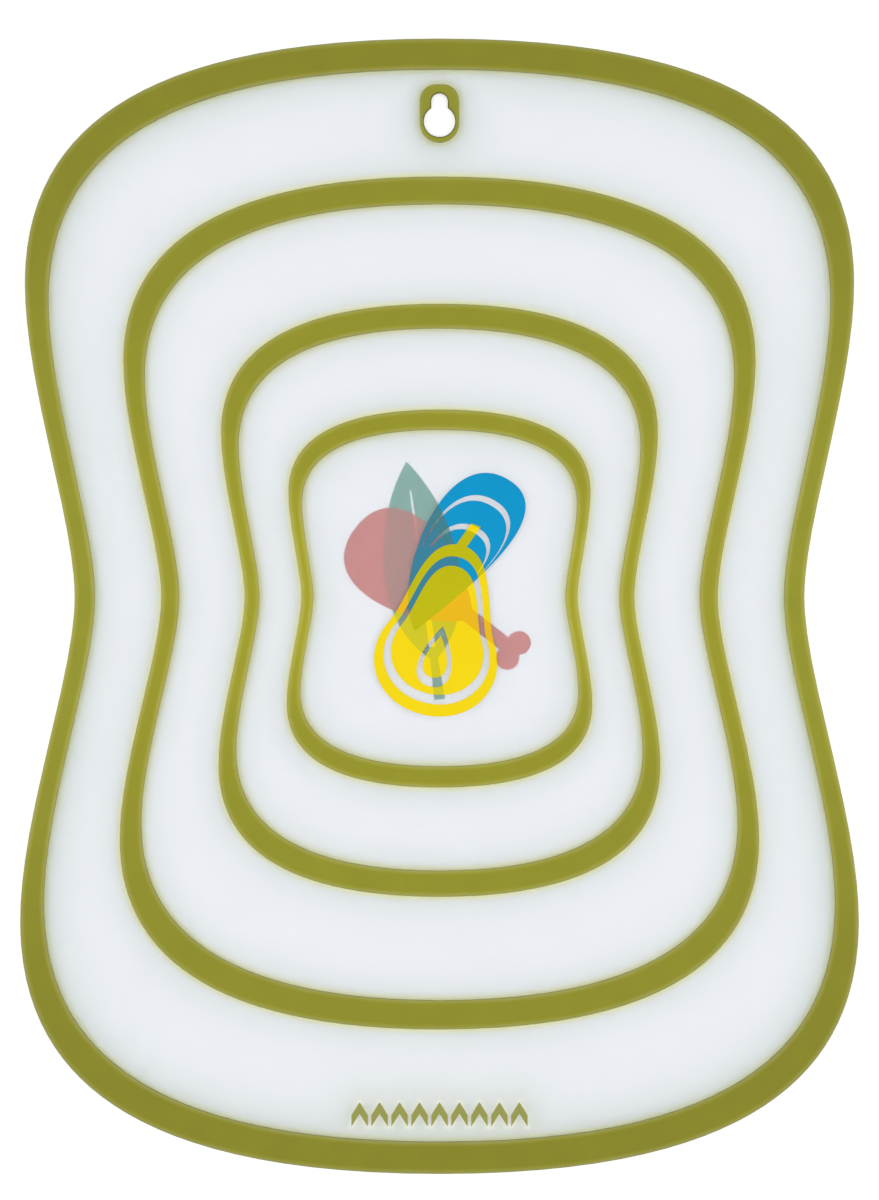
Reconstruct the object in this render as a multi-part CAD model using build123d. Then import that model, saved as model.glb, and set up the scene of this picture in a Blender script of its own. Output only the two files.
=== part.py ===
from build123d import *
from build123d.topology import SkipClean
from math import cos, radians, sin
import os

# A flexible kitchen cutting mat: a thin frosted sheet with a soft rim and soft grip rings
# moulded through it, a keyhole grommet to hang it by, and a print in its middle panel.
# It lies flat with X across, Y towards the hang hole and Z up.
# The origin is under the middle of its bounding box. Lengths are in millimetres.

# Outline: the reach of the upper half counts from the waist, where the sides draw in
mat_length = 381.0
lobe_width = 278.3
waist_width = 244.9
# The half below the waist is a little larger than the half above it
lower_length_share = 1.033
lower_width_share = 1.0113
# Shape of every line: height of the widest place, and how far each curve runs on straight.
# The rings have rounder corners than the rim
lobe_height_share = 0.562
rim_crown_pull_share = 0.70
rim_corner_pull_share = 0.649
ring_crown_pull_share = 0.55
ring_corner_pull_share = 0.758
flank_pull_share = 0.326
waist_pull_share = 0.246

# Widths of the soft bands and of the bare panels between them, from the edge inwards,
# each at the top end, at the bottom end, at the widest place and at the waist
rim_top_width = 10.4
rim_bottom_width = 10.8
rim_lobe_width = 7.9
rim_waist_width = 6.8
outer_panel_top_width = 35.9
outer_panel_bottom_width = 37.7
outer_panel_lobe_width = 25.2
outer_panel_waist_width = 22.3
outer_ring_top_width = 9.3
outer_ring_bottom_width = 9.8
outer_ring_lobe_width = 7.1
outer_ring_waist_width = 6.0
middle_panel_top_width = 33.4
middle_panel_bottom_width = 34.7
middle_panel_lobe_width = 25.7
middle_panel_waist_width = 22.0
middle_ring_top_width = 8.3
middle_ring_bottom_width = 8.8
middle_ring_lobe_width = 5.8
middle_ring_waist_width = 4.9
inner_panel_top_width = 27.2
inner_panel_bottom_width = 27.9
inner_panel_lobe_width = 16.8
inner_panel_waist_width = 14.1
inner_ring_top_width = 6.8
inner_ring_bottom_width = 7.1
inner_ring_lobe_width = 4.5
inner_ring_waist_width = 4.0

# Thicknesses: the grips stand proud of both faces of the sheet and are seated in grooves
sheet_thickness = 1.2
grip_proud = 0.5
groove_depth = 0.3
grip_edge_radius = 0.35
grip_edge_facets = 2
# How far in through the rim the sheet's own edge lies
sheet_edge_share = 0.3

# Anchor studs that join the two faces of each grip through holes in the sheet
anchor_diameter = 2.2
anchor_pitch = 24.0
anchor_place_share = 0.5

# Hang hole: a round hole with a narrower slot above it, in a soft tab
hole_diameter = 10.5
slot_width = 5.5
slot_rise = 6.7
tab_side_wall = 1.3
tab_bottom_wall = 1.9
tab_top_wall = 2.9
tab_corner_radius = 5.4
tab_gap_to_rim = 5.0

# Side-up marks: a row of small bold chevrons that point at the hang hole.
# The stroke's height is measured upright, along Y
marks_width = 59.0
mark_width = 5.5
mark_height = 8.2
mark_stroke_height = 3.8
mark_pitch = 6.7
mark_proud = 0.3
marks_gap_to_rim = 5.1

# Print: one thin coat of ink a colour, placed and sized by the middle panel
ink_thickness = 0.1
print_reach_share = 0.82
print_width_share = 1.09
# Each motif's size and place are shares of the print's reach, and its turn is in degrees
pear_size_share = 1.32
pear_place_shares = (0.02, -0.24)
pear_turn = -12
mussel_size_share = 1.30
mussel_place_shares = (-0.18, -0.25)
mussel_turn = 148
drumstick_size_share = 1.55
drumstick_place_shares = (0.0, 0.03)
drumstick_turn = 52
leaf_size_share = 1.75
leaf_place_shares = (-0.12, 0.12)
leaf_turn = 8
# Parts of each motif as shares of its own size
skin_inside_share = 0.86
flesh_share = 0.75
core_share = 0.34
core_drop_share = 0.15
core_inside_share = 0.70
outer_growth_share = 0.86
inner_growth_share = 0.68
growth_width_share = 0.035
growth_start_share = 0.48
knuckle_share = 0.055
knuckle_apart_share = 0.045
knuckle_drop_share = 0.44

# Places worked out from the sizes above
upper_reach = mat_length / (1 + lower_length_share)
lower_reach = mat_length - upper_reach
waist_y = (lower_reach - upper_reach) / 2
mat_thickness = sheet_thickness + 2 * grip_proud
sheet_bottom = grip_proud
sheet_top = sheet_bottom + sheet_thickness
web_bottom = sheet_bottom + groove_depth
web_top = sheet_top - groove_depth

# An hourglass line is its reach at each of these places, then its crown and corner pulls
line_places = ("top", "bottom", "lobe", "waist")
rim_pull_shares = (rim_crown_pull_share, rim_corner_pull_share)
ring_pull_shares = (ring_crown_pull_share, ring_corner_pull_share)


def inset(line, steps):
    """The hourglass line inside another by these steps at its top, bottom, lobe and waist."""
    moved = tuple(size - step for size, step in zip(line, steps))
    return moved + line[len(line_places) :]


def pulled(line, pull_shares):
    """The same hourglass line with other pulls."""
    return line[: len(line_places)] + pull_shares


def between(outer, inner, share):
    """The hourglass line that lies this share of the way from one line to the next."""
    return tuple(start + (stop - start) * share for start, stop in zip(outer, inner))


rim_outer = (upper_reach, lower_reach, lobe_width / 2, waist_width / 2) + rim_pull_shares
rim_inner = inset(
    rim_outer, (rim_top_width, rim_bottom_width, rim_lobe_width, rim_waist_width)
)
outer_ring_outer = inset(
    pulled(rim_inner, ring_pull_shares),
    (
        outer_panel_top_width,
        outer_panel_bottom_width,
        outer_panel_lobe_width,
        outer_panel_waist_width,
    ),
)
outer_ring_inner = inset(
    outer_ring_outer,
    (
        outer_ring_top_width,
        outer_ring_bottom_width,
        outer_ring_lobe_width,
        outer_ring_waist_width,
    ),
)
middle_ring_outer = inset(
    outer_ring_inner,
    (
        middle_panel_top_width,
        middle_panel_bottom_width,
        middle_panel_lobe_width,
        middle_panel_waist_width,
    ),
)
middle_ring_inner = inset(
    middle_ring_outer,
    (
        middle_ring_top_width,
        middle_ring_bottom_width,
        middle_ring_lobe_width,
        middle_ring_waist_width,
    ),
)
inner_ring_outer = inset(
    middle_ring_inner,
    (
        inner_panel_top_width,
        inner_panel_bottom_width,
        inner_panel_lobe_width,
        inner_panel_waist_width,
    ),
)
inner_ring_inner = inset(
    inner_ring_outer,
    (
        inner_ring_top_width,
        inner_ring_bottom_width,
        inner_ring_lobe_width,
        inner_ring_waist_width,
    ),
)
sheet_edge = between(rim_outer, rim_inner, sheet_edge_share)

# The print keeps clear of the inner ring both along the mat and across it
panel_top_reach, panel_bottom_reach, panel_lobe, panel_waist, *_ = inner_ring_inner
panel_reach = min(panel_top_reach, panel_bottom_reach)
panel_half_width = min(panel_lobe, panel_waist)
print_reach = min(panel_reach * print_reach_share, panel_half_width * print_width_share)

# Each soft band by name: its outer line, its inner line, and where the sheet in it begins
bands = {
    "rim_grip": (rim_outer, rim_inner, sheet_edge),
    "outer_grip_ring": (outer_ring_outer, outer_ring_inner, outer_ring_outer),
    "middle_grip_ring": (middle_ring_outer, middle_ring_inner, middle_ring_outer),
    "inner_grip_ring": (inner_ring_outer, inner_ring_inner, inner_ring_outer),
}


def half_side(reach, lobe, waist, pull_shares, way):
    """The right side of a line from its end to the waist, upwards or downwards by way."""
    crown_pull_share, corner_pull_share = pull_shares
    lobe_height = reach * lobe_height_share
    corner_height = lobe_height + (reach - lobe_height) * corner_pull_share
    shoulder = [
        (0, reach),
        (lobe * crown_pull_share, reach),
        (lobe, corner_height),
        (lobe, lobe_height),
    ]
    flank = [
        (lobe, lobe_height),
        (lobe, lobe_height * (1 - flank_pull_share)),
        (waist, lobe_height * waist_pull_share),
        (waist, 0),
    ]
    return [Bezier(*[(x, way * y) for x, y in curve]) for curve in (shoulder, flank)]


def outline(line):
    """The closed hourglass line, with the waist at its place along Y."""
    reach_up, reach_down, lobe, waist, *pull_shares = line
    right = half_side(reach_up, lobe, waist, pull_shares, 1)
    right += half_side(reach_down, lobe * lower_width_share, waist, pull_shares, -1)
    left = [curve.mirror(Plane.YZ) for curve in right]
    return Pos(0, waist_y, 0) * Wire(right + left)


def filled(line):
    """The flat area inside an hourglass line."""
    return Face(outline(line))


def less(area, cuts):
    """An area less others, with its long outline kept in the short curves that it is drawn in."""
    with SkipClean():
        return area - cuts


def slab(area, low, high):
    """A flat area raised to the space between two heights."""
    return extrude(Pos(0, 0, low) * area, high - low, dir=(0, 0, 1))


def anchor_areas(held_from, inner):
    """The anchors of one band, evenly spaced where the band holds the sheet."""
    path = outline(between(held_from, inner, anchor_place_share))
    count = 2 * round(path.length / anchor_pitch / 2)
    places = [path @ (index / count) for index in range(count)]
    return [Pos(place) * Circle(anchor_diameter / 2) for place in places]


def rounded_slab(line, way):
    """The mat's full height inside a line, its edges rounded inwards (way 1) or outwards (-1)."""
    sections = []
    for index in range(grip_edge_facets + 1):
        turn = radians(90 * index / grip_edge_facets)
        step = way * grip_edge_radius * (1 - sin(turn))
        height = grip_edge_radius * (1 - cos(turn))
        section = outline(inset(line, [step] * len(line_places)))
        sections.append(Pos(0, 0, height) * section)
        sections.append(Pos(0, 0, mat_thickness - height) * section)
    sections.sort(key=lambda section: section.center().Z)
    return Solid.make_loft(sections, ruled=True)


def grip(outer, inner, held_from):
    """A soft band on both faces of the sheet, joined through it by its anchors."""
    band = rounded_slab(outer, 1) - rounded_slab(inner, -1)
    web_area = less(filled(sheet_edge), anchor_areas(held_from, inner))
    return band - slab(web_area, web_bottom, web_top)


def hang_tab_areas():
    """The outline of the soft tab, of the sheet's hole for it, and of its keyhole."""
    top_y = waist_y + rim_inner[0] - tab_gap_to_rim
    tab_radius = hole_diameter / 2 + tab_side_wall
    hole_y = top_y - tab_top_wall - slot_width / 2 - slot_rise
    keyhole = Pos(0, hole_y) * Circle(hole_diameter / 2)
    keyhole += Pos(0, hole_y + slot_rise / 2) * SlotCenterToCenter(
        slot_rise, slot_width, rotation=90
    )
    foot_y = hole_y - (tab_bottom_wall - tab_side_wall)
    shoulder = Rectangle(2 * tab_radius, top_y - foot_y, align=(Align.CENTER, Align.MIN))
    shoulder = fillet(shoulder.vertices().group_by(Axis.Y)[-1], tab_corner_radius)
    tab = Pos(0, foot_y) * (shoulder + Circle(tab_radius))
    tab_hole = offset(tab, -tab_side_wall / 2)
    return tab, tab_hole, keyhole


def hang_hole_grommet():
    """The soft tab: flanges on both faces, and a body through the sheet round the keyhole."""
    tab, tab_hole, keyhole = hang_tab_areas()
    body = slab(tab - keyhole, 0, mat_thickness)
    faces = body.faces().sort_by(Axis.Z)
    body = fillet(faces[0].edges() + faces[-1].edges(), grip_edge_radius)
    return body - slab(less(filled(sheet_edge), tab_hole), web_bottom, web_top)


def mark_area():
    """One chevron, point up, with its feet cut level."""
    half = mark_width / 2
    rise = mark_height - mark_stroke_height
    points = [(-half, 0), (0, rise), (half, 0), (half, mark_stroke_height), (0, mark_height)]
    points += [(-half, mark_stroke_height)]
    return make_face(Polyline(*points, close=True))


def mark_places():
    """Where each chevron stands, centred on the mat above the lower rim."""
    count = 1 + round((marks_width - mark_width) / mark_pitch)
    foot_y = waist_y - rim_inner[1] + marks_gap_to_rim
    first_x = -(count - 1) * mark_pitch / 2
    return [Pos(first_x + index * mark_pitch, foot_y) for index in range(count)]


def side_up_marks():
    """The chevrons, seated in the upper face of the sheet."""
    return [slab(place * mark_area(), web_top, sheet_top + mark_proud) for place in mark_places()]


def cutting_sheet():
    """The sheet in three layers: a web with the anchor holes, and bare panels on both sides."""
    tab, tab_hole, _ = hang_tab_areas()
    web_area = less(filled(sheet_edge), tab_hole)
    panels = less(filled(sheet_edge), tab)
    for outer, inner, held_from in bands.values():
        web_area = less(web_area, anchor_areas(held_from, inner))
        panels = less(panels, less(filled(outer), filled(inner)))
    marks = [place * mark_area() for place in mark_places()]
    web = slab(web_area, web_bottom, web_top)
    lower = slab(panels, sheet_bottom, web_bottom)
    upper = slab(less(panels, marks), web_top, sheet_top)
    return web + [lower, upper]


def scaled(shares, size):
    """Points given as shares of a size."""
    return [(x * size, y * size) for x, y in shares]


def straight_area(shares, size):
    """The area inside straight lines."""
    return make_face(Polyline(*scaled(shares, size), close=True))


def symmetric_area(curves, size):
    """The area between curves given by their pull points, and their mirror image."""
    right = [Bezier(*scaled(shares, size)) for shares in curves]
    return make_face(right + [curve.mirror(Plane.YZ) for curve in right])


def pear_outline(size):
    """A whole pear, upright: its round foot, then its neck."""
    foot_shares = [(0, -0.48), (0.27, -0.48), (0.42, -0.24), (0.30, -0.02)]
    neck_shares = [(0.30, -0.02), (0.21, 0.145), (0.21, 0.48), (0, 0.48)]
    return symmetric_area([foot_shares, neck_shares], size)


def pear_core(size):
    """The core of the pear, a drop with its point up."""
    return symmetric_area([[(0, -0.5), (0.34, -0.5), (0.40, -0.1), (0, 0.5)]], size)


def pear_area(size):
    """A halved pear: its skin, a gap, the flesh with its core as an open line, and a stalk."""
    skin = pear_outline(size) - pear_outline(size * skin_inside_share)
    core_size = size * core_share
    core = Pos(0, -size * core_drop_share) * (
        pear_core(core_size) - pear_core(core_size * core_inside_share)
    )
    flesh = pear_outline(size * flesh_share) - core
    stalk = straight_area([(-0.03, 0.46), (0.03, 0.46), (0.09, 0.60), (0.035, 0.61)], size)
    return skin + flesh + stalk


def mussel_outline(size):
    """A mussel shell that hangs from its hinge at the origin."""
    right_shares = [(0, 0), (0.26, -0.14), (0.44, -1), (0, -1)]
    left_shares = [(0, 0), (-0.10, -0.30), (-0.38, -1), (0, -1)]
    return make_face([Bezier(*scaled(shares, size)) for shares in (right_shares, left_shares)])


def mussel_area(size):
    """A mussel shell with two growth lines left open, which fade out near the hinge."""
    shell = mussel_outline(size)
    for line_share in (outer_growth_share, inner_growth_share):
        inside_share = line_share - growth_width_share
        line = mussel_outline(size * line_share) - mussel_outline(size * inside_share)
        shell -= line - Circle(size * growth_start_share)
    return shell


def drumstick_area(size):
    """A cooked leg: round meat that narrows to a bone with two knuckles."""
    meat = symmetric_area([[(0, 0.5), (0.36, 0.5), (0.22, -0.02), (0, -0.2)]], size)
    bone = straight_area([(-0.035, -0.1), (0.035, -0.1), (0.035, -0.44), (-0.035, -0.44)], size)
    knuckle = Pos(size * knuckle_apart_share, -size * knuckle_drop_share) * Circle(
        size * knuckle_share
    )
    return meat + bone + knuckle + knuckle.mirror(Plane.YZ)


def leaf_area(size):
    """A long leaf on its stalk, with its midrib left open."""
    blade = symmetric_area([[(0, -0.34), (0.25, -0.14), (0.17, 0.28), (0, 0.5)]], size)
    rib = straight_area([(-0.014, -0.28), (0.014, -0.28), (0.004, 0.38), (-0.004, 0.38)], size)
    stalk = straight_area([(-0.022, -0.5), (0.022, -0.5), (0.016, -0.3), (-0.016, -0.3)], size)
    return blade - rib + stalk


def printed(area, place_shares, turn):
    """A motif turned and put in its place in the middle panel."""
    x_share, y_share = place_shares
    place = Pos(x_share * print_reach, waist_y + y_share * print_reach)
    return place * Rot(0, 0, turn) * area


def prints():
    """The four coats of ink: blue then yellow on the upper face, pink then green below."""
    pear = printed(pear_area(pear_size_share * print_reach), pear_place_shares, pear_turn)
    mussel = printed(
        mussel_area(mussel_size_share * print_reach), mussel_place_shares, mussel_turn
    )
    drumstick = printed(
        drumstick_area(drumstick_size_share * print_reach), drumstick_place_shares, drumstick_turn
    )
    leaf = printed(leaf_area(leaf_size_share * print_reach), leaf_place_shares, leaf_turn)
    blue = slab(mussel, sheet_top, sheet_top + ink_thickness)
    yellow = slab(pear, sheet_top, sheet_top + 2 * ink_thickness) - blue
    pink = slab(drumstick, sheet_bottom - ink_thickness, sheet_bottom)
    green = slab(leaf, sheet_bottom - 2 * ink_thickness, sheet_bottom) - pink
    return {"yellow": yellow, "blue": blue, "pink": pink, "green": green}


def save(name, pieces):
    """Writes one sub-part, which may be a group of separate solids."""
    export_step(Compound(pieces) if isinstance(pieces, list) else pieces, f"parts/{name}.step")


os.makedirs("parts", exist_ok=True)
save("cutting_sheet", cutting_sheet())
for band_name, lines in bands.items():
    save(band_name, grip(*lines))
save("hang_hole_grommet", hang_hole_grommet())
save("side_up_marks", side_up_marks())
for colour, coat in prints().items():
    save(f"print_{colour}", coat)
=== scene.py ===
# %% [markdown]
# # A flexible cutting mat
# The mat is a thin frosted sheet with a soft olive rim and soft rings moulded through it. It lies
# flat and is seen from straight above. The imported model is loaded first, and every finish and
# every finer piece is then made around it, in metres, with X across, Y towards the hang hole
# and Z up.

# %% Load the frame
from math import radians

import bmesh
import bpy
from mathutils import Matrix, Vector
from mathutils.kdtree import KDTree


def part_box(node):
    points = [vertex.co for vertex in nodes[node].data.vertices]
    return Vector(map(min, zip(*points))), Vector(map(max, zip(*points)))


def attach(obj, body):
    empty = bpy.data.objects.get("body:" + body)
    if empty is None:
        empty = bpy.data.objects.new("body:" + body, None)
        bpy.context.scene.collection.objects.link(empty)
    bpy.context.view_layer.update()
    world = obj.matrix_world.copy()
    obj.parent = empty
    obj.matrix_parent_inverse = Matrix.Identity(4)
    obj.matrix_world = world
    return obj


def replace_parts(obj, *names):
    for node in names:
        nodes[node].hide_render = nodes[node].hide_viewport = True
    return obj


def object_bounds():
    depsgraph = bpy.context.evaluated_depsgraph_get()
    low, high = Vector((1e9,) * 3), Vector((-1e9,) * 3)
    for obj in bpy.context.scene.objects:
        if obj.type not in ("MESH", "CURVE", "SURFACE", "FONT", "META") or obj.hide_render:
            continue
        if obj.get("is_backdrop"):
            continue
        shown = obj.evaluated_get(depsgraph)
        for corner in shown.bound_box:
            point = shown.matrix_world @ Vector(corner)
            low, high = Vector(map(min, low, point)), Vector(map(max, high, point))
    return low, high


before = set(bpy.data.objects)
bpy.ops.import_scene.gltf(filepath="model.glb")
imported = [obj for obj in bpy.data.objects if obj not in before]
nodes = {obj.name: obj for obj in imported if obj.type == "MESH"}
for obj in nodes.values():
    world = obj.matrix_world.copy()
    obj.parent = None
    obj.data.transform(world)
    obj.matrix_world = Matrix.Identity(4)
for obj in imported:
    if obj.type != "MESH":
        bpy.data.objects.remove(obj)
cad_low, cad_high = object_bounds()
MM = 0.001
print("nodes:", ", ".join(sorted(nodes)))
print("size in mm:", [round(v / MM, 2) for v in cad_high - cad_low])

# %% [markdown]
# ## The camera
# The photograph looks straight down with almost no perspective, as a long lens gives from far
# away. A camera at 2 m with the lens worked out from the height of the picture does the same, and
# unlike an orthographic camera it also suits the other views.

# %% Camera
CAMERA_HEIGHT = 2.0
PICTURE_HEIGHT = 402.6 * MM
PICTURE_CENTRE_Y = 2.1 * MM
SENSOR = 36.0

camera = bpy.data.cameras.new("camera")
camera.sensor_width = SENSOR
camera.lens = SENSOR * (CAMERA_HEIGHT - cad_high.z) / PICTURE_HEIGHT
camera_object = bpy.data.objects.new("camera", camera)
camera_object.location = (0, PICTURE_CENTRE_Y, CAMERA_HEIGHT)
bpy.context.scene.collection.objects.link(camera_object)
bpy.context.scene.camera = camera_object
bpy.context.scene.view_settings.view_transform = "Standard"
print("lens in mm:", round(camera.lens, 1))

# %% [markdown]
# ## Writing materials as expressions
# A material is a graph of nodes, and wiring sums by hand hides what they mean. This small class
# wraps one output of a node. Adding or multiplying two of them adds the Math node that does it,
# and every other node comes from one method, which takes the node's type, its settings and the
# values or links of its sockets.


# %% Shader notation
COLOUR_INPUTS = (6, 7)
COLOUR_OUTPUT = 2


class Signal:
    """One output of a shader node, usable in sums like a number."""

    def __init__(self, tree, socket=None):
        self.tree = tree
        self.socket = socket

    def node(self, kind, settings=None, output=0, **sockets):
        """Adds a node: its settings first, then its sockets by name, or by number as s0, s1."""
        made = self.tree.nodes.new(kind)
        for name, value in (settings or {}).items():
            setattr(made, name, value)
        for name, value in sockets.items():
            key = int(name[1:]) if name[0] == "s" and name[1:].isdigit() else name.replace("_", " ")
            if isinstance(value, Signal):
                self.tree.links.new(value.socket, made.inputs[key])
            else:
                made.inputs[key].default_value = value
        return Signal(self.tree, made.outputs[output])

    def maths(self, operation, first, second, **settings):
        """One Math node on two values."""
        settings["operation"] = operation
        return self.node("ShaderNodeMath", settings, s0=first, s1=second)

    def __add__(self, other):
        return self.maths("ADD", self, other)

    def __radd__(self, other):
        return self.maths("ADD", other, self)

    def __sub__(self, other):
        return self.maths("SUBTRACT", self, other)

    def __rsub__(self, other):
        return self.maths("SUBTRACT", other, self)

    def __mul__(self, other):
        return self.maths("MULTIPLY", self, other)

    def __rmul__(self, other):
        return self.maths("MULTIPLY", other, self)

    def __truediv__(self, other):
        return self.maths("DIVIDE", self, other)

    def __rtruediv__(self, other):
        return self.maths("DIVIDE", other, self)

    def __pow__(self, other):
        return self.maths("POWER", self, other)

    def size(self):
        """The value without its sign."""
        return self.maths("ABSOLUTE", self, 0.0)

    def held(self):
        """The value kept between 0 and 1."""
        return self.maths("ADD", self, 0.0, use_clamp=True)

    def least(self, other):
        """The smaller of two values."""
        return self.maths("MINIMUM", self, other)

    def falloff(self, reach):
        """1 where the value is 0, and less and less from there, by a factor e a reach."""
        return self.maths("EXPONENT", self / -reach, 0.0)

    def mix(self, first, second):
        """A colour between two colours, by this value."""
        made = self.node("ShaderNodeMix", {"data_type": "RGBA"}, output=COLOUR_OUTPUT, s0=self)
        for index, colour in zip(COLOUR_INPUTS, (first, second)):
            entry = made.socket.node.inputs[index]
            if isinstance(colour, Signal):
                self.tree.links.new(colour.socket, entry)
            else:
                entry.default_value = colour
        return made


def paint(red, green, blue):
    """A colour as it reads on a screen, 0 to 255, turned into the linear one that nodes use."""
    linear = []
    for value in (red, green, blue):
        share = value / 255
        linear.append(share / 12.92 if share <= 0.04045 else ((share + 0.055) / 1.055) ** 2.4)
    return (*linear, 1.0)


def new_material(name):
    """An empty node material, its output node, and a signal to start from."""
    material = bpy.data.materials.new(name)
    material.use_nodes = True
    tree = material.node_tree
    tree.nodes.clear()
    return material, tree.nodes.new("ShaderNodeOutputMaterial"), Signal(tree)


def show(output, shader):
    """Connects the finished shader to the material's surface."""
    shader.tree.links.new(shader.socket, output.inputs["Surface"])


# %% [markdown]
# ## Floor, world and lamps
# A white product picture needs a white floor that still takes a soft shadow. The floor is a plain
# pale surface that gives off a little light of its own, seen only by the camera and in
# reflections, so it reaches white without more light on the mat. Big lamps on both sides keep
# the light soft, and no lamp stands where the flat mat would mirror it to the camera.

# %% Floor and light
FLOOR_SIZE = 12.0
FLOOR_GAP = 0.02 * MM
FLOOR_LIFT = 0.44
WORLD_STRENGTH = 0.45
BACKGROUND_RAYS = ("Is Camera Ray", "Is Glossy Ray", "Is Transmission Ray")
LAMP_SIZE = 1.3
LAMP_WATTS = 13.4
LAMP_APART = 1.2
LAMP_HEIGHT = 1.2


def seen(start):
    """1 for rays that show the background: from the camera, a reflection or through the sheet."""
    rays = [start.node("ShaderNodeLightPath", output=name) for name in BACKGROUND_RAYS]
    return (rays[0] + rays[1] + rays[2]).held()


form = bmesh.new()
bmesh.ops.create_grid(form, x_segments=1, y_segments=1, size=FLOOR_SIZE / 2)
bmesh.ops.translate(form, verts=form.verts, vec=(0, 0, -FLOOR_GAP))
mesh = bpy.data.meshes.new("floor")
form.to_mesh(mesh)
form.free()
floor = bpy.data.objects.new("floor", mesh)
bpy.context.scene.collection.objects.link(floor)
floor_material, output, start = new_material("pale_floor")
floor_grain = start.node("ShaderNodeTexNoise", Scale=40.0, Detail=3.0)
floor_paint = floor_grain.mix((0.84, 0.84, 0.84, 1), (0.86, 0.86, 0.86, 1))
floor_body = start.node("ShaderNodeBsdfDiffuse", Color=floor_paint)
floor_light = start.node("ShaderNodeEmission", Strength=seen(start) * FLOOR_LIFT)
show(output, start.node("ShaderNodeAddShader", s0=floor_body, s1=floor_light))
mesh.materials.append(floor_material)
floor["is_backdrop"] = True

world = bpy.data.worlds.new("studio")
bpy.context.scene.world = world
world.use_nodes = True
world.node_tree.nodes.clear()
start = Signal(world.node_tree)
world_output = world.node_tree.nodes.new("ShaderNodeOutputWorld")
strength = WORLD_STRENGTH + seen(start) * (1 - WORLD_STRENGTH)
show(world_output, start.node("ShaderNodeBackground", Color=(1, 1, 1, 1), Strength=strength))


def lamp(name, place):
    """A large soft lamp that faces the mat."""
    light = bpy.data.lights.new(name, "AREA")
    light.size = LAMP_SIZE
    light.energy = LAMP_WATTS
    light_object = bpy.data.objects.new(name, light)
    light_object.location = place
    light_object.rotation_euler = (-Vector(place)).to_track_quat("-Z", "Y").to_euler()
    bpy.context.scene.collection.objects.link(light_object)


lamp("lamp_left", (-LAMP_APART, 0.0, LAMP_HEIGHT))
lamp("lamp_right", (LAMP_APART, 0.0, LAMP_HEIGHT))

# %% [markdown]
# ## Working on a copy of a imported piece
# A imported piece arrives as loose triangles. Where its surface has to carry more than one colour,
# a copy is joined up first, cut finer, and shown in its place. The shape stays as it was.

# %% Copies and new pieces
SAME_HEIGHT = 0.01 * MM
SAME_PLACE = 0.0005 * MM
WALL_TOP = 1.85 * MM
POINT_STEP = 0.4 * MM
WAIST_Y = 3.09 * MM


def merged_copy(node):
    """A CAD node's mesh as one connected surface."""
    form = bmesh.new()
    form.from_mesh(nodes[node].data)
    bmesh.ops.remove_doubles(form, verts=form.verts, dist=SAME_PLACE)
    return form


def level_faces(form, height):
    """The faces that lie flat at one height."""
    chosen = []
    for face in form.faces:
        if all(abs(vert.co.z - height) < SAME_HEIGHT for vert in face.verts):
            chosen.append(face)
    return chosen


def wall_points(node, height, facing=0):
    """Points along the top edges of a piece's upright walls, just above the sheet.

    Facing 1 keeps the walls that face away from the mat's middle, and -1 those that face it.
    """
    form = merged_copy(node)
    form.normal_update()
    middle = Vector((0, WAIST_Y, 0))
    points = []
    for edge in form.edges:
        first, last = (vert.co for vert in edge.verts)
        if max(abs(first.z - height), abs(last.z - height)) > SAME_HEIGHT:
            continue
        wall = min(edge.link_faces, key=lambda face: abs(face.normal.z))
        if wall.normal.dot(first - middle) * facing < 0:
            continue
        count = 1 + int((last - first).length / POINT_STEP)
        points += [first.lerp(last, index / count) for index in range(count)]
    form.free()
    return points


def store_distance(form, name, points):
    """Stores on each corner how far it lies from the nearest of these points, in mm from above."""
    tree = KDTree(len(points))
    for index, point in enumerate(points):
        tree.insert((point.x, point.y, 0), index)
    tree.balance()
    layer = form.verts.layers.float.new(name)
    for vert in form.verts:
        vert[layer] = tree.find((vert.co.x, vert.co.y, 0))[2] / MM
    print(name, "measured from", len(points), "points")


def new_piece(name, form, material):
    """Turns a finished form into an object that rides on the mat."""
    mesh = bpy.data.meshes.new(name)
    form.to_mesh(mesh)
    form.free()
    mesh.materials.append(material)
    piece = bpy.data.objects.new(name, mesh)
    bpy.context.scene.collection.objects.link(piece)
    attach(piece, "root")
    print(name, "faces:", len(mesh.polygons))
    return piece


# %% [markdown]
# ## Soft olive grips
# The rim and the rings are a soft thermoplastic rubber: olive, satin, with a faint mottle in the
# colour and a very fine skin from the mould. Wide stretches look deeper in colour than narrow
# ones, because the rubber lets a little light through. The colour is therefore blended along the
# mat between the one at its waist and the one at its ends, and noise at two scales breaks it.
# The marks near the lower edge are of the same rubber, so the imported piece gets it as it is.

# %% Olive rubber
BLEND_START = 0.15
BLEND_END = 0.8
HOLE_Y = 162.75 * MM
HOLE_RADIUS = 5.25 * MM
SLOT_RADIUS = 2.75 * MM
SLOT_RISE = 6.7 * MM
SLOT_MIDDLE_Y = HOLE_Y + SLOT_RISE / 2
SLOT_HALF = SLOT_RISE / 2
KEYHOLE_SHADE_WIDTH = 0.5 * MM
KEYHOLE_SHADE_GAIN = 0.25
WIDE_BLUE = 0.01
THIN_BLUE = 0.07
THIN_EXTRA_GLOW = 0.04
MOTTLE_SCALE = 90.0
GRAIN_SCALE = 2600.0
LIGHTER = 1.16
DARKER = 0.84


def scaled(colour, gain):
    """A colour made lighter or darker all over."""
    return tuple(value * gain for value in colour[:3]) + (1.0,)


def lit(colour, gain, blue):
    """A colour for painted light or painted shade in the rubber: brighter or darker by a gain, and
    paler by some blue.
    """
    red, green, old_blue, alpha = colour
    return (red * gain, green * gain, old_blue + blue, alpha)


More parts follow.
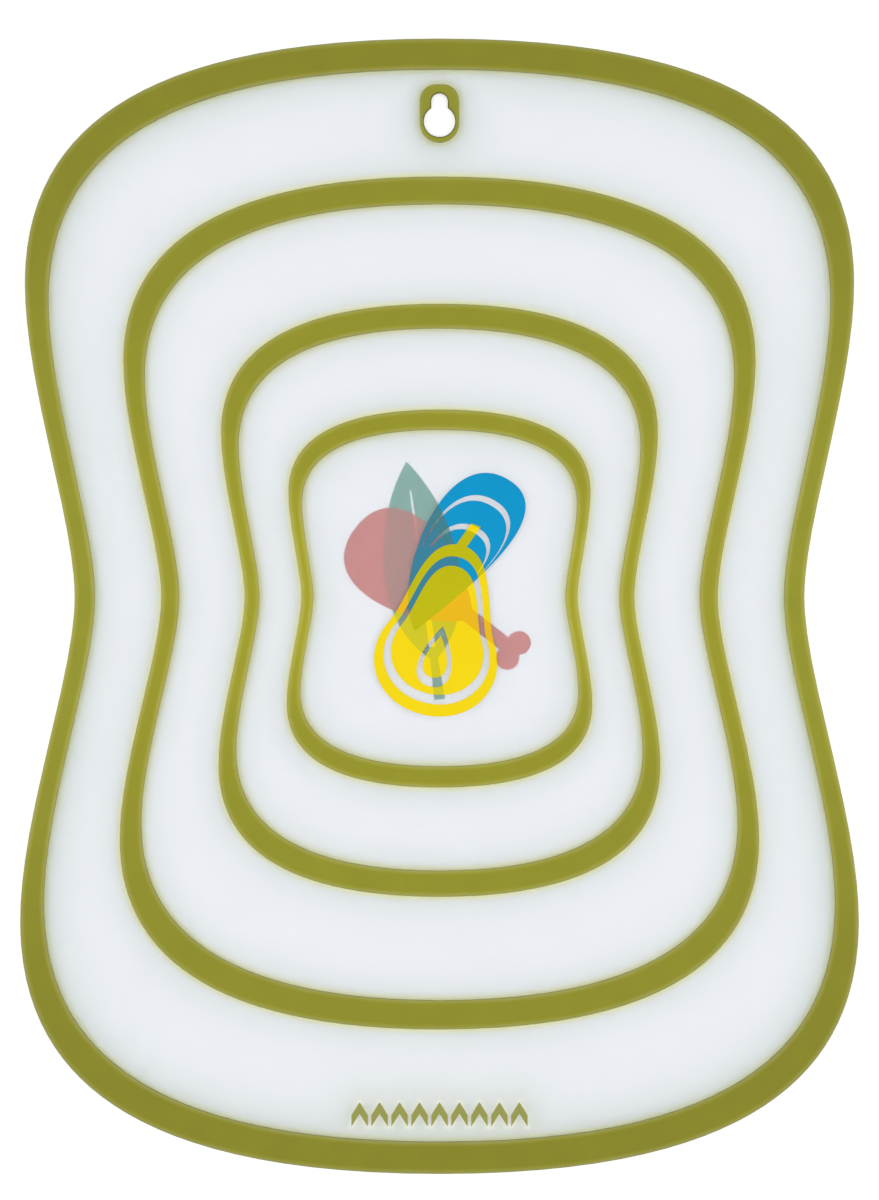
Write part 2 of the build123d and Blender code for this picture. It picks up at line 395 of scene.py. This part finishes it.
def from_keyhole(place):
    """How far a place lies from the keyhole's edge, seen from above."""
    across = place.node("ShaderNodeSeparateXYZ", output="X", Vector=place)
    along = place.node("ShaderNodeSeparateXYZ", output="Y", Vector=place)
    from_round = (across ** 2.0 + (along - HOLE_Y) ** 2.0) ** 0.5 - HOLE_RADIUS
    past_slot = place.maths("MAXIMUM", (along - SLOT_MIDDLE_Y).size() - SLOT_HALF, 0.0)
    from_slot = (across ** 2.0 + past_slot ** 2.0) ** 0.5 - SLOT_RADIUS
    return from_round.least(from_slot)


def olive_rubber(name, end_colour, waist_colour, reach, fringe=0, glow=1.2, keyhole=False):
    """Soft olive rubber, deeper towards the ends of a band and lighter beside its edges."""
    material, output, start = new_material(name)
    place = start.node("ShaderNodeTexCoord", output="Object")
    along = start.node("ShaderNodeSeparateXYZ", output="Y", Vector=place)
    to_end = start.node(
        "ShaderNodeMapRange",
        {"interpolation_type": "SMOOTHSTEP"},
        Value=((along - WAIST_Y) / reach).size(),
        From_Min=BLEND_START,
        From_Max=BLEND_END,
    )
    mottle = start.node("ShaderNodeTexNoise", Vector=place, Scale=MOTTLE_SCALE, Detail=4.0)
    grain = start.node("ShaderNodeTexNoise", Vector=place, Scale=GRAIN_SCALE, Detail=2.0)
    colour = to_end.mix(waist_colour, end_colour)
    if fringe:
        depth = start.node("ShaderNodeAttribute", {"attribute_name": "edge_depth"}, output="Fac")
        near = (1 - depth / (fringe / MM)).held()
        wide, thin = (
            to_end.mix(lit(waist_colour, gain, blue), lit(end_colour, gain, blue))
            for gain, blue in ((glow, WIDE_BLUE), (glow + THIN_EXTRA_GLOW, THIN_BLUE))
        )
        colour = (near ** 3.0).mix(near.mix(colour, wide), thin)
    if keyhole:
        # Painted shade: a thin dark line round the keyhole, where its edge turns down into the
        # hole.
        dark = (1 - from_keyhole(place) / KEYHOLE_SHADE_WIDTH).held()
        colour = dark.mix(colour, lit(end_colour, KEYHOLE_SHADE_GAIN, 0))
    shift = (mottle - 0.5) * 0.5 + (grain - 0.5) * 0.25
    colour = shift.held().mix(colour, scaled(waist_colour, LIGHTER))
    colour = (shift * -1.0).held().mix(colour, scaled(end_colour, DARKER))
    skin = grain + mottle * 2
    bump = start.node("ShaderNodeBump", Height=skin, Distance=0.02 * MM, Strength=0.35)
    shader = start.node(
        "ShaderNodeBsdfPrincipled",
        Base_Color=colour,
        Roughness=0.5 + (grain - 0.5) * 0.2,
        Specular_IOR_Level=0.2,
        Normal=bump,
    )
    show(output, shader)
    return material


marks_colour = paint(150, 152, 78)
marks_finish = olive_rubber("marks_finish", marks_colour, marks_colour, 190 * MM)
nodes["side_up_marks"].data.materials.clear()
nodes["side_up_marks"].data.materials.append(marks_finish)

# %% [markdown]
# ## Bands with light edges
# Light gets through the rubber where it is thin or near an edge, so every band is paler along
# both of its edges, over a millimetre and a half. Each flat face is therefore inset twice, and
# each corner stores how deep it lies. The first strip is narrow, so that smooth shading rounds
# only the moulded edge and leaves the flat face flat. For each band the table below gives its
# piece's name, its colours at the ends and at the waist, its reach, and how much its edges glow.

# %% Bands
SHARP_ANGLE = radians(50)
FIRST_STRIP = 0.3 * MM
BAND_FRINGE = 1.5 * MM
TAB_STRIP = 0.1 * MM
TAB_FRINGE = 1.1 * MM
HOLE_MARGIN = 0.25 * MM


def inset_flats(form, widths):
    """Insets both flat faces of a band by one width after the other, and returns the depths."""
    heights = [vert.co.z for vert in form.verts]
    depths = {}
    for height in (min(heights), max(heights)):
        flat = level_faces(form, height)
        depth = 0
        for width in widths:
            bmesh.ops.inset_region(
                form, faces=flat, thickness=width, use_even_offset=True, use_boundary=True
            )
            depth += width
            for vert in {vert for face in flat for vert in face.verts}:
                vert.co.z = height
                depths[vert] = depth
    return depths


def smoothed(form):
    """Shades a band smoothly over its rounded edges, and leaves its square corners sharp."""
    for face in form.faces:
        face.smooth = True
    for edge in form.edges:
        edge.smooth = edge.calc_face_angle(0) < SHARP_ANGLE
    return form


grips = {
    "rim_grip": ("soft_rim", (132, 131, 33), (146, 145, 41), 190, 1.26),
    "outer_grip_ring": ("soft_outer_ring", (139, 138, 36), (151, 148, 36), 145, 1.2),
    "middle_grip_ring": ("soft_middle_ring", (142, 141, 36), (156, 153, 36), 100, 1.2),
    "inner_grip_ring": ("soft_inner_ring", (146, 144, 34), (162, 158, 39), 65, 1.2),
}
for node, (name, end_tone, waist_tone, reach, glow) in grips.items():
    finish = olive_rubber(
        f"{name}_finish", paint(*end_tone), paint(*waist_tone), reach * MM, BAND_FRINGE, glow
    )
    form = merged_copy(node)
    layer = form.verts.layers.float.new("edge_depth")
    depths = inset_flats(form, (FIRST_STRIP, BAND_FRINGE - FIRST_STRIP))
    for vert, depth in depths.items():
        vert[layer] = depth / MM
    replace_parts(new_piece(name, smoothed(form), finish), node)

# %% [markdown]
# ## The tab round the hang hole
# The tab is pale along its outer edge only, because its inner edge at the keyhole is thick and
# faces the nail. There a thin line of painted shade is drawn, where the edge turns down into the
# hole. The tab's corners store their distance from the outer wall.

# %% Tab
tab_points = []
for point in wall_points("hang_hole_grommet", WALL_TOP):
    above_hole = point.y - HOLE_Y
    at_hole = Vector((point.x, above_hole)).length < HOLE_RADIUS + HOLE_MARGIN
    slot_reach = SLOT_RADIUS + HOLE_MARGIN
    at_slot = abs(point.x) < slot_reach and 0 < above_hole < SLOT_RISE + slot_reach
    if not (at_hole or at_slot):
        tab_points.append(point)
form = merged_copy("hang_hole_grommet")
inset_flats(form, (TAB_STRIP,))
store_distance(form, "edge_depth", tab_points)
tab_colour = paint(142, 142, 43)
tab_finish = olive_rubber(
    "soft_tab_finish", tab_colour, tab_colour, 190 * MM, TAB_FRINGE, keyhole=True
)
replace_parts(new_piece("soft_tab", smoothed(form), tab_finish), "hang_hole_grommet")

# %% [markdown]
# ## The frosted sheet
# The sheet is frosted polypropylene: milky, cool white, and see-through enough to show the inks
# printed on its underside. Beside the soft bands it looks darker and slightly olive, because
# light that wanders inside the sheet is lost there. That shade follows the distance to the
# nearest band, so a copy of the sheet is cut into a net of small faces and each corner stores its
# distances. Beside a wall that faces outwards the sheet is lighter than beside one that faces the
# mat's middle, so the two are kept apart. Reaches and widths of the shades are in millimetres.

# %% Frosted sheet
NET_STEP = 6 * MM
FINE_STEP = 1.2 * MM
TAB_MARGIN = 12 * MM
MARKS_MARGIN = 6 * MM
MARK_TOP = 2.0 * MM
SHEET_BOTTOM = 0.5 * MM
SHEET_TOP = 1.7 * MM
WAIST_REACH = 45 * MM


def faces_between(faces, axis, low, high):
    """The faces that reach into the stretch between two places along an axis."""
    chosen = []
    for face in faces:
        sides = [vert.co[axis] for vert in face.verts]
        if min(sides) < high and max(sides) > low:
            chosen.append(face)
    return chosen


def cut_across(form, faces, axis, places):
    """Cuts faces at several places along an axis, the middle place first, then each half."""
    if not places:
        return faces
    middle = len(places) // 2
    place = places[middle]
    crossed = set(faces_between(faces, axis, place, place))
    geometry = {item for face in crossed for item in (face, *face.edges, *face.verts)}
    normal = Vector((axis == 0, axis == 1, 0))
    made = bmesh.ops.bisect_plane(
        form, geom=list(geometry), plane_co=normal * place, plane_no=normal
    )
    pieces = [item for item in made["geom"] if isinstance(item, bmesh.types.BMFace)]
    pieces += [face for face in faces if face not in crossed]
    below, above = [], []
    for face in pieces:
        (below if face.calc_center_median()[axis] < place else above).append(face)
    lower = cut_across(form, below, axis, places[:middle])
    return lower + cut_across(form, above, axis, places[middle + 1 :])


def cut_in_net(form, corners, step):
    """Cuts the flat faces inside a rectangle along lines this far apart, both ways."""
    faces = level_faces(form, SHEET_TOP) + level_faces(form, SHEET_BOTTOM)
    for axis in (0, 1):
        low, high = corners[0][axis], corners[1][axis]
        faces = faces_between(faces, axis, low, high)
        count = int((high - low) / step)
        places = [low + index * step for index in range(1, count + 1)]
        faces = cut_across(form, faces, axis, places)


form = merged_copy("cutting_sheet")
cut_in_net(form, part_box("cutting_sheet"), NET_STEP)
for node, margin in (("hang_hole_grommet", TAB_MARGIN), ("side_up_marks", MARKS_MARGIN)):
    node_low, node_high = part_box(node)
    around = Vector((margin, margin, 0))
    cut_in_net(form, (node_low - around, node_high + around), FINE_STEP)
print("sheet faces:", len(form.faces))
for name, facing in (("outward_distance", 1), ("inward_distance", -1)):
    points = []
    for node in ("outer_grip_ring", "middle_grip_ring", "inner_grip_ring"):
        points += wall_points(node, WALL_TOP, facing)
    store_distance(form, name, points)
store_distance(form, "rim_distance", wall_points("rim_grip", WALL_TOP, -1) + tab_points)
store_distance(form, "marks_distance", wall_points("side_up_marks", MARK_TOP))

material, output, start = new_material("frosted_sheet_finish")
outward, inward, rim, marks = (
    start.node("ShaderNodeAttribute", {"attribute_name": f"{name}_distance"}, output="Fac")
    for name in ("outward", "inward", "rim", "marks")
)
ring = outward.least(inward)
place = start.node("ShaderNodeTexCoord", output="Object")
along = start.node("ShaderNodeSeparateXYZ", output="Y", Vector=place)
at_waist = (((along - WAIST_Y) / WAIST_REACH) ** 2.0).falloff(1.0)
cloud = start.node("ShaderNodeTexNoise", Vector=place, Scale=45.0, Detail=3.0)
grain = start.node("ShaderNodeTexNoise", Vector=place, Scale=3200.0, Detail=2.0)
colour = cloud.mix(paint(232, 234, 237), paint(234, 236, 239))
# Painted shade: the sheet darker beside the rings, the rim and the marks.
colour = ring.falloff(4.6).mix(colour, paint(221, 225, 225))
colour = (rim * (1 + at_waist * 0.5)).falloff(5.5).mix(colour, paint(214, 219, 217))
colour = marks.falloff(5.0).mix(colour, paint(220, 224, 219))
# Painted light: a pale olive glow in the sheet right beside the rings and the rim, and a pale halo
# beside the marks.
painted_glows = (
    (outward, 1.1, paint(236, 237, 193)),
    (inward, 1.35, paint(221, 223, 189)),
    (rim, 1.35, paint(216, 220, 190)),
    (marks, 1.0, paint(243, 245, 234)),
)
for distance, width, glow_tone in painted_glows:
    colour = ((distance / width) ** 2.0).falloff(1.0).mix(colour, glow_tone)
bump = start.node("ShaderNodeBump", Height=grain, Distance=0.01 * MM, Strength=0.3)
shader = start.node(
    "ShaderNodeBsdfPrincipled",
    Base_Color=colour,
    Roughness=0.3 + (grain - 0.5) * 0.1,
    Specular_IOR_Level=0.4,
    Transmission_Weight=0.85,
    IOR=1.3,
    Normal=bump,
)
show(output, shader)
sheet = new_piece("frosted_sheet", form, material)
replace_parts(sheet, "cutting_sheet")

# %% [markdown]
# ## The print
# Each motif is one thin coat of ink, about a tenth of a millimetre thick. Yellow and blue lie on
# the upper face, pink and green on the underside, where the sheet softens them. Where coats
# cross, the thin ink lets the one below change its colour. A coat is therefore cut along the
# outlines of the coats below it, as with pastry cutters, and each field gets the colour that the
# two inks make together. The fields are then thickened as one coat.

# %% Cutting a coat into fields
COAT_LOW = -1 * MM
COAT_HIGH = 1 * MM
CUTTER_STRETCH = 1.5
FACING_UP = 0.9


def coat_prism(node, height):
    """The faces of a CAD node at one height, made into a tall prism of the same outline."""
    form = merged_copy(node)
    level = set(level_faces(form, height))
    others = [face for face in form.faces if face not in level]
    bmesh.ops.delete(form, geom=others, context="FACES")
    for vert in form.verts:
        vert.co.z = COAT_LOW
    grown = bmesh.ops.extrude_face_region(form, geom=form.faces[:])["geom"]
    tops = [item for item in grown if isinstance(item, bmesh.types.BMVert)]
    bmesh.ops.translate(form, verts=tops, vec=(0, 0, COAT_HIGH - COAT_LOW))
    bmesh.ops.recalc_face_normals(form, faces=form.faces[:])
    mesh = bpy.data.meshes.new("prism")
    form.to_mesh(mesh)
    form.free()
    return mesh


def cut(mesh, cutter_mesh, operation):
    """What a boolean operation leaves of one prism, as a new mesh."""
    base = bpy.data.objects.new("base", mesh)
    cutter = bpy.data.objects.new("cutter", cutter_mesh.copy())
    cutter.data.transform(Matrix.Scale(CUTTER_STRETCH, 4, (0, 0, 1)))
    for item in (base, cutter):
        bpy.context.scene.collection.objects.link(item)
    boolean = base.modifiers.new("cut", "BOOLEAN")
    boolean.object = cutter
    boolean.operation = operation
    boolean.solver = "EXACT"
    depsgraph = bpy.context.evaluated_depsgraph_get()
    result = bpy.data.meshes.new_from_object(base.evaluated_get(depsgraph))
    for item in (base, cutter):
        bpy.data.objects.remove(item)
    return result


def fields_of(prism, cutters):
    """Cuts a prism by each cutter in turn, and names each field by the cutters that it lies in."""
    fields = {(): prism}
    for name, cutter in cutters.items():
        parted = {}
        for key, mesh in fields.items():
            parted[key] = cut(mesh, cutter, "DIFFERENCE")
            parted[key + (name,)] = cut(mesh, cutter, "INTERSECT")
        fields = {key: mesh for key, mesh in parted.items() if len(mesh.polygons)}
    return fields


def thick_coat(fields, looks, low, high):
    """One closed coat between two heights, each field with the look of the first ink below it."""
    form = bmesh.new()
    for key, mesh in fields.items():
        before = set(form.faces)
        form.from_mesh(mesh)
        look = looks[key[0]] if key else 0
        for face in form.faces:
            if face not in before:
                face.material_index = look
    others = [face for face in form.faces if face.normal.z < FACING_UP]
    bmesh.ops.delete(form, geom=others, context="FACES")
    bmesh.ops.remove_doubles(form, verts=form.verts, dist=SAME_PLACE)
    for vert in form.verts:
        vert.co.z = low
    grown = bmesh.ops.extrude_face_region(form, geom=form.faces[:])["geom"]
    tops = [item for item in grown if isinstance(item, bmesh.types.BMVert)]
    bmesh.ops.translate(form, verts=tops, vec=(0, 0, high - low))
    bmesh.ops.recalc_face_normals(form, faces=form.faces[:])
    return form


prisms = {
    "yellow": coat_prism("print_yellow", 1.9 * MM),
    "blue": coat_prism("print_blue", 1.8 * MM),
    "pink": coat_prism("print_pink", 0.4 * MM),
    "green": coat_prism("print_green", 0.3 * MM),
}
for colour, mesh in prisms.items():
    print(colour, "prism faces:", len(mesh.polygons))

# %% [markdown]
# ## Ink colours
# Screen ink is smooth and a little glossy, with a faint unevenness where the squeegee passed. The
# coats keep a hundredth of a millimetre or more from the sheet, so that no ink shares its surface.
# For each coat the table gives the inks that it crosses, its own colour and then its colour over
# each of them, its heights in millimetres and its roughness.

# %% Inks
INK_DEEPER = 0.88


def ink(name, colour, gloss):
    """One ink colour, uneven by a few hundredths."""
    material, output, start = new_material(name)
    place = start.node("ShaderNodeTexCoord", output="Object")
    cloud = start.node("ShaderNodeTexNoise", Vector=place, Scale=70.0, Detail=3.0)
    grain = start.node("ShaderNodeTexNoise", Vector=place, Scale=1800.0, Detail=3.0)
    tone = (cloud * 0.7 + grain * 0.3).mix(colour, scaled(colour, INK_DEEPER))
    bump = start.node("ShaderNodeBump", Height=grain, Distance=0.005 * MM, Strength=0.3)
    shader = start.node(
        "ShaderNodeBsdfPrincipled",
        Base_Color=tone,
        Roughness=gloss + grain * 0.1,
        Specular_IOR_Level=0.12,
        Normal=bump,
    )
    show(output, shader)
    return material


coats = {
    "yellow": (
        ("blue", "pink", "green"),
        (paint(252, 222, 14), paint(196, 190, 10), paint(242, 190, 25), paint(214, 204, 40)),
        (1.71, 1.9),
        0.3,
    ),
    "blue": (
        ("pink", "green"),
        (paint(4, 153, 208), paint(58, 132, 160), paint(64, 130, 145)),
        (1.71, 1.79),
        0.3,
    ),
    "pink": (("green",), (paint(248, 104, 88), paint(205, 105, 75)), (0.4, 0.48), 0.4),
    "green": ((), (paint(90, 195, 170),), (0.3, 0.38), 0.4),
}
for colour, (crossed, tones, (low, high), gloss) in coats.items():
    fields = fields_of(prisms[colour], {name: prisms[name] for name in crossed})
    looks = {name: index + 1 for index, name in enumerate(crossed)}
    form = thick_coat(fields, looks, low * MM, high * MM)
    names = (colour,) + tuple(f"{colour}_over_{name}" for name in crossed)
    materials = [ink(f"{name}_ink", tone, gloss) for name, tone in zip(names, tones)]
    coat = new_piece(f"{colour}_coat", form, materials[0])
    for material in materials[1:]:
        coat.data.materials.append(material)
    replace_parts(coat, f"print_{colour}")
    print(colour, "fields:", sorted(fields))

# %% [markdown]
# ## Last step
# The sizes of the imported model and of the visual model are both printed. The visual model
# must stay inside the box of the imported one.

# %% Size and finish
low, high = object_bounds()
print("visual size in mm:", [round(v / MM, 2) for v in high - low])
